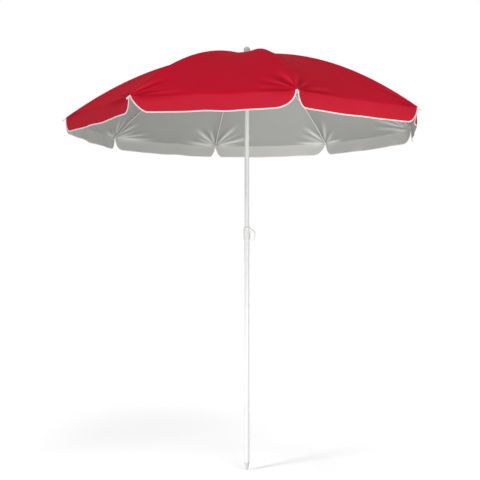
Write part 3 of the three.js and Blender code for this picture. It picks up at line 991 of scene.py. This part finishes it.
    def _ripple(self, panel: int, along: np.ndarray, down: np.ndarray) -> np.ndarray:
        """How far a panel's valance stands out from its flat hang.

        Args:
            panel: The panel's number.
            along: Distance along the hem from the panel's first rib.
            down: Distance below the hem.

        Returns:
            The distance outwards at each place.
        """
        waves = self.waves
        chance = np.random.default_rng([self.seed, panel, waves.ripple_draw])
        low = np.clip(down / self.valance, 0, 1.2)
        total = np.zeros(along.shape)
        for length, high in waves.ripples_mm:
            start = chance.uniform(0, 2 * math.pi)
            size = high * MM * chance.uniform(*waves.ripple_size)
            total += size * np.sin(2 * math.pi * along / length + start) * low ** 1.2
        gathered = np.sin(2 * math.pi * along / waves.pucker_length + chance.uniform(0, 6))
        pucker = gathered * chance.uniform(*waves.pucker_mm)
        total += pucker * MM * np.exp(-((low - 0.93) / 0.22) ** 2)
        total += 0.5 * pucker * MM * np.exp(-(low / 0.2) ** 2) * (low > 0)
        near = np.minimum(along, 2 * self.hem - along)
        total *= smoothstep(near / waves.margin)
        for end, place in ((0, along), (1, 2 * self.hem - along)):
            curl = self._corner(panel, end).curl
            total += curl * np.exp(-(place / waves.curl_width) ** 2) * low ** 2
        return total

    def _shape(self, gore: int, s: np.ndarray, drop: np.ndarray) -> np.ndarray:
        """The cloth's outer face.

        Args:
            gore: The rib's number.
            s: Place along the hem's direction.
            drop: Place down the cloth.

        Returns:
            Points in the rib's own frame.
        """
        beside = np.abs(s)
        tight, loose = self.hem_bend_mm
        bend = (tight + loose * smoothstep(beside * self.hem / self.hem_bend_run)) * MM
        round_off = np.hypot(drop, bend)
        up, down = (round_off - drop) / 2, (round_off + drop) / 2
        rho = np.maximum(self.reach - up * math.cos(self.slope), self.hole)
        sine, cosine = self.sine, self.cosine
        slack = self._slack(rho, beside * sine * cosine * rho)
        height = self.top - self.fall * (rho / self.reach) ** 2 - slack
        points = np.stack([rho * (1 - beside * sine ** 2), s * sine * cosine * rho, height - down], -1)
        lift = self._creases(gore, s, drop)
        out = np.zeros(s.shape)
        climb = (self.reach - rho) * cosine / math.cos(self.slope)
        for end, mine in ((0, s >= 0), (1, s < 0)):
            panel, _ = self._panel(gore, end)
            from_tip = (self.reach - rho) * sine + beside * rho * sine
            along = from_tip if end == 0 else 2 * self.hem - from_tip
            swell = mine * self._swell(panel, along, climb)
            lift += swell * smoothstep(beside * rho / self.waves.swell_margin)
            out += mine * self._ripple(panel, along, down)
        side = np.where(s >= 0, 1.0, -1.0)
        points[..., 2] += lift
        points[..., 0] += out * cosine
        points[..., 1] += out * side * sine
        return points

    def cloth(self, gore: int, s: np.ndarray, drop: np.ndarray) -> tuple[np.ndarray, np.ndarray]:
        """The cloth's outer face and its outward normal.

        Args:
            gore: The rib's number.
            s: Place along the hem's direction.
            drop: Place down the cloth.

        Returns:
            Points and normals in the rib's own frame.
        """
        step_s, step_drop = 0.5 * MM / self.hem, 0.5 * MM
        along = self._shape(gore, s + step_s, drop) - self._shape(gore, s - step_s, drop)
        down = self._shape(gore, s, drop + step_drop) - self._shape(gore, s, drop - step_drop)
        normal = np.cross(down, along)
        length = np.linalg.norm(normal, axis=-1, keepdims=True)
        return self._shape(gore, s, drop), normal / np.maximum(length, 1e-12)

    def _columns(self, gore: int) -> np.ndarray:
        """Places along the hem, close together at the notch and round the valance's corners."""
        places = [0.0, 0.5 * self.notch, -0.5 * self.notch]
        for end, side in ((0, 1), (1, -1)):
            width = self._corner(*self._panel(gore, end)).width
            round_part = self.notch + width * np.linspace(0, 1, 15) ** 2
            creased = np.arange(round_part[-1] + self.column_step, self.creased_hem, self.column_step)
            rest = np.linspace(creased[-1], self.hem, 15)[1:]
            places += [side * p for p in (*round_part, *creased, *rest)]
        return np.array(sorted(places))

    def _to_frame(self, gore: int, points: np.ndarray) -> np.ndarray:
        """Turns points from a rib's own frame to the umbrella's."""
        turn = self.azimuths[gore - 1]
        cosine, sine = math.cos(turn), math.sin(turn)
        spin = np.array([[cosine, sine, 0], [-sine, cosine, 0], [0, 0, 1]])
        return points @ spin

    def _rows(self) -> np.ndarray:
        """Places down the roof, closer together towards the hem."""
        start = (self.reach - self.hole) / math.cos(self.slope)
        places = []
        for end, count in self.roof_rows:
            places += list(np.linspace(start, end, count)[:-1])
            start = end
        return -np.array([*places, *self.hem_rows])

    def _gore(self, gore: int) -> bpy.types.Object:
        """The cloth about one rib, red outside and silver inside, with its half of each valance."""
        along = self._columns(gore)
        roof, hang = self._rows(), np.array(self.hang_rows)
        s = np.broadcast_to(along / self.hem, (len(roof) + len(hang), len(along)))
        depth = self._depth(gore, along)
        drop = np.concatenate([np.broadcast_to(roof[:, None], (len(roof), len(along))),
                               hang[:, None] * depth[None, :]])
        outer, normal = self.cloth(gore, s, drop)
        inner = outer - normal * self.thickness
        rows, columns = s.shape
        under = rows * columns
        number = np.arange(under).reshape(rows, columns)
        a, b, c, d = number[:-1, :-1], number[1:, :-1], number[1:, 1:], number[:-1, 1:]
        face_out = np.stack([a, b, c, a, c, d], -1).reshape(-1, 3)
        face_in = face_out[:, ::-1] + under
        rim = np.concatenate([number[:, 0], number[-1, 1:], number[-2::-1, -1], number[0, -2:0:-1]])
        onward = np.roll(rim, -1)
        face_rim = np.stack([rim, rim + under, onward + under, onward], -1)
        faces = face_out.tolist() + face_in.tolist() + face_rim.tolist()
        slots = [0] * len(face_out) + [1] * len(face_in) + [0] * len(face_rim)
        points = self._to_frame(gore, np.concatenate([outer.reshape(-1, 3), inner.reshape(-1, 3)]))
        rho = np.minimum(self.reach, self.reach + drop * math.cos(self.slope))
        spread = s * rho * self.sine
        flat = np.tile(np.stack([spread, drop], -1).reshape(-1, 2), (2, 1))
        # Crease heights scaled for the cloth's painted highlight and painted shade; the inner face
        # takes them reversed, so from below a crest is painted darker.
        full = self.fan.full_shade_share * self.fan.height
        fold = (self._creases(gore, s, drop) / full).ravel()
        cloths = [self.wardrobe.outside, self.wardrobe.inside]
        return make_piece(f"gore_{gore}", points, faces, cloths, slots, flat, CLOTH_SHARP,
                          np.concatenate([fold, -fold]))

    def _binding(self, gore: int) -> bpy.types.Object:
        """The tape folded over a gore's lower edge, up one side of the notch and down the other."""
        along = self._columns(gore)
        edge = np.stack([along, self._depth(gore, along)], -1)
        step = np.gradient(edge, axis=0)
        forward = step / np.linalg.norm(step, axis=1, keepdims=True)
        inward = np.stack([forward[:, 1], -forward[:, 0]], -1)
        wide, proud, thick = self.tape_width, self.tape_proud, self.thickness
        face = [(wide, proud * 0.6), (wide * 0.55, proud * 1.3), (0.6 * MM, proud),
                (-0.5 * MM, proud * 0.4)]
        back = [(depth, -thick - out) for depth, out in reversed(face)]
        section = [*face, (-0.7 * MM, -thick / 2), *back]
        length = np.concatenate([[0], np.cumsum(np.linalg.norm(np.diff(edge, axis=0), axis=1))])
        rings, flats = [], []
        for depth, out in section:
            place = edge + inward * depth
            point, normal = self.cloth(gore, place[:, 0] / self.hem, place[:, 1])
            rings.append(point + normal * out)
            flats.append(np.stack([length, np.full(len(length), depth)], -1))
        points = self._to_frame(gore, np.stack(rings, 1))
        return lofted(f"binding_{gore}", points, self.wardrobe.binding, np.stack(flats, 1))

    def _seam(self, gore: int) -> bpy.types.Object:
        """The felled seam along a rib, proud of the cloth."""
        rho = np.linspace(self.seam_start, self.reach - self.seam_stop, self.seam_rows)
        drop = (rho - self.reach) / math.cos(self.slope)
        half = self.seam_width / 2
        section_mm = [(-half, -0.3), (-half, 0.25), (-half * 0.6, 0.5), (0.0, 0.55),
                      (half * 0.6, 0.5), (half, 0.25), (half, -0.3)]
        rings, flats = [], []
        for across, out in section_mm:
            s = across / (self.widen * rho)
            point, normal = self.cloth(gore, s, drop)
            rings.append(point + normal * out * MM)
            flats.append(np.stack([rho, np.full(len(rho), across)], -1))
        points = self._to_frame(gore, np.stack(rings, 1))
        return lofted(f"seam_{gore}", points, self.wardrobe.seam, np.stack(flats, 1))

    def _facing(self, gore: int) -> bpy.types.Object:
        """The strip sewn under a gore along its rib, which closes the folded bundle near the crown."""
        rho = np.concatenate([np.linspace(self.facing_start, self.facing_end - 40 * MM, 30),
                              np.linspace(self.facing_end - 32 * MM, self.facing_end, 5)])
        lean = math.radians(self.folded_angle)
        sunk = self.fall * (rho / self.reach) ** 2 * math.sin(lean)
        folded = self.hole + (rho - self.hole) * math.cos(lean) - sunk
        widest = 0.92 * self.sine * self.cosine * rho
        half = np.minimum(math.tan(self.half) * folded + 3 * MM, widest)
        half *= 0.1 + 0.9 * smoothstep((self.facing_end - rho) / self.facing_taper)
        share = np.linspace(-1, 1, self.facing_columns)
        s = share[None, :] * half[:, None] / (self.widen * rho[:, None])
        drop = np.broadcast_to((rho[:, None] - self.reach) / math.cos(self.slope), s.shape)
        outer, normal = self.cloth(gore, s, drop)
        top = outer - normal * (self.thickness + 0.05 * MM)
        low = outer - normal * (self.thickness + 0.35 * MM)
        rings = np.concatenate([top, low[:, ::-1]], axis=1)
        flats = np.stack([np.broadcast_to(rho[:, None], s.shape), share[None, :] * half[:, None]], -1)
        flats = np.concatenate([flats, flats[:, ::-1]], axis=1)
        points = self._to_frame(gore, rings)
        piece = lofted(f"facing_{gore}", points, self.wardrobe.outside, flats)
        piece.data.materials.append(self.wardrobe.inside)
        around = rings.shape[1]
        slots = [1 if index < (len(rho) - 1) * around and index % around >= len(share) else 0
                 for index in range(len(piece.data.polygons))]
        piece.data.polygons.foreach_set("material_index", slots)
        return piece

    def _patch(self) -> bpy.types.Object:
        """The round patch of cloth about the finial's foot."""
        inner, outer = self.patch_inner, self.patch_outer
        height = [self.top - self.fall * (r / self.reach) ** 2 for r in (inner, outer)]
        profile = [(inner, height[0] - 0.2 * MM), (outer, height[1] - 0.4 * MM),
                   (outer, height[1] + 0.5 * MM), (0.7 * outer + 0.3 * inner, height[1] + 1.2 * MM),
                   (inner, height[0] + 0.6 * MM)]
        return turned("crown_patch", profile, self.wardrobe.outside, 64, 0.2 * MM)

    def build(self) -> list[bpy.types.Object]:
        """Makes every gore with its binding, seam and facing, and hangs each on its rib."""
        made = []
        for gore in range(1, self.ribs + 1):
            cloth, tape, seam = self._gore(gore), self._binding(gore), self._seam(gore)
            facing = self._facing(gore)
            for piece in (cloth, tape, seam):
                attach(piece, f"rib_{gore}")
                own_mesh(piece)
            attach(facing, f"rib_{gore}")
            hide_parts(f"canopy_{gore}")
            made += [cloth, tape, seam, facing]
        patch = self._patch()
        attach(patch, "upper_pole")
        return [*made, patch]


# ---- hard parts ----
@dataclass
class Hardware:
    """Dresses the frame's own nodes."""

    wardrobe: Wardrobe
    edge: float = 0.35 * MM

    def _dress(self, node: str, material: bpy.types.Material, edge: float) -> bpy.types.Object:
        """Gives one node its finish and rounds its sharp edges."""
        piece = frame["nodes"][node]
        piece.data.materials.clear()
        piece.data.materials.append(material)
        piece.data.shade_smooth()
        piece.data.set_sharp_from_angle(angle=math.radians(SHARP))
        if edge:
            soften(piece, edge)
        return piece

    def build(self) -> list[bpy.types.Object]:
        """Dresses every node that shows. The thin bars of the folding frame keep their own edges."""
        hard = self.wardrobe.hard
        paint, white = hard[Slot.PAINT], hard[Slot.WHITE_PLASTIC]
        grey, steel = hard[Slot.GREY_PLASTIC], hard[Slot.STEEL]
        finishes = {
            "ground_spike": grey, "lower_tube": paint, "clamp_collar": white, "clamp_lever": white,
            "lever_pin": steel, "upper_tube": paint, "crown_hub": white, "crown_ring": steel,
            "finial": grey, "runner": white, "runner_ring": steel, "catch_button": steel,
            "catch_spring": steel,
        }
        bars = {"rib": paint, "stretcher": paint, "rib_tip": white, "rib_joint": steel}
        made = [self._dress(node, material, self.edge) for node, material in finishes.items()]
        for k in range(1, RIBS + 1):
            made += [self._dress(f"{bar}_{k}", material, 0.0) for bar, material in bars.items()]
        return made


def report(pieces: list[bpy.types.Object]) -> None:
    """Logs the name of each piece."""
    for piece in pieces:
        LOG.info("%s", piece.name)


def main() -> None:
    """Builds the studio, the hard parts and the canopy, and reports each piece."""
    logging.basicConfig(level=logging.INFO, format="%(name)s: %(message)s")
    report(Studio().build())
    wardrobe = Wardrobe()
    report(Hardware(wardrobe).build())
    report(Canopy(wardrobe).build())


if __name__ == "__main__":
    main()
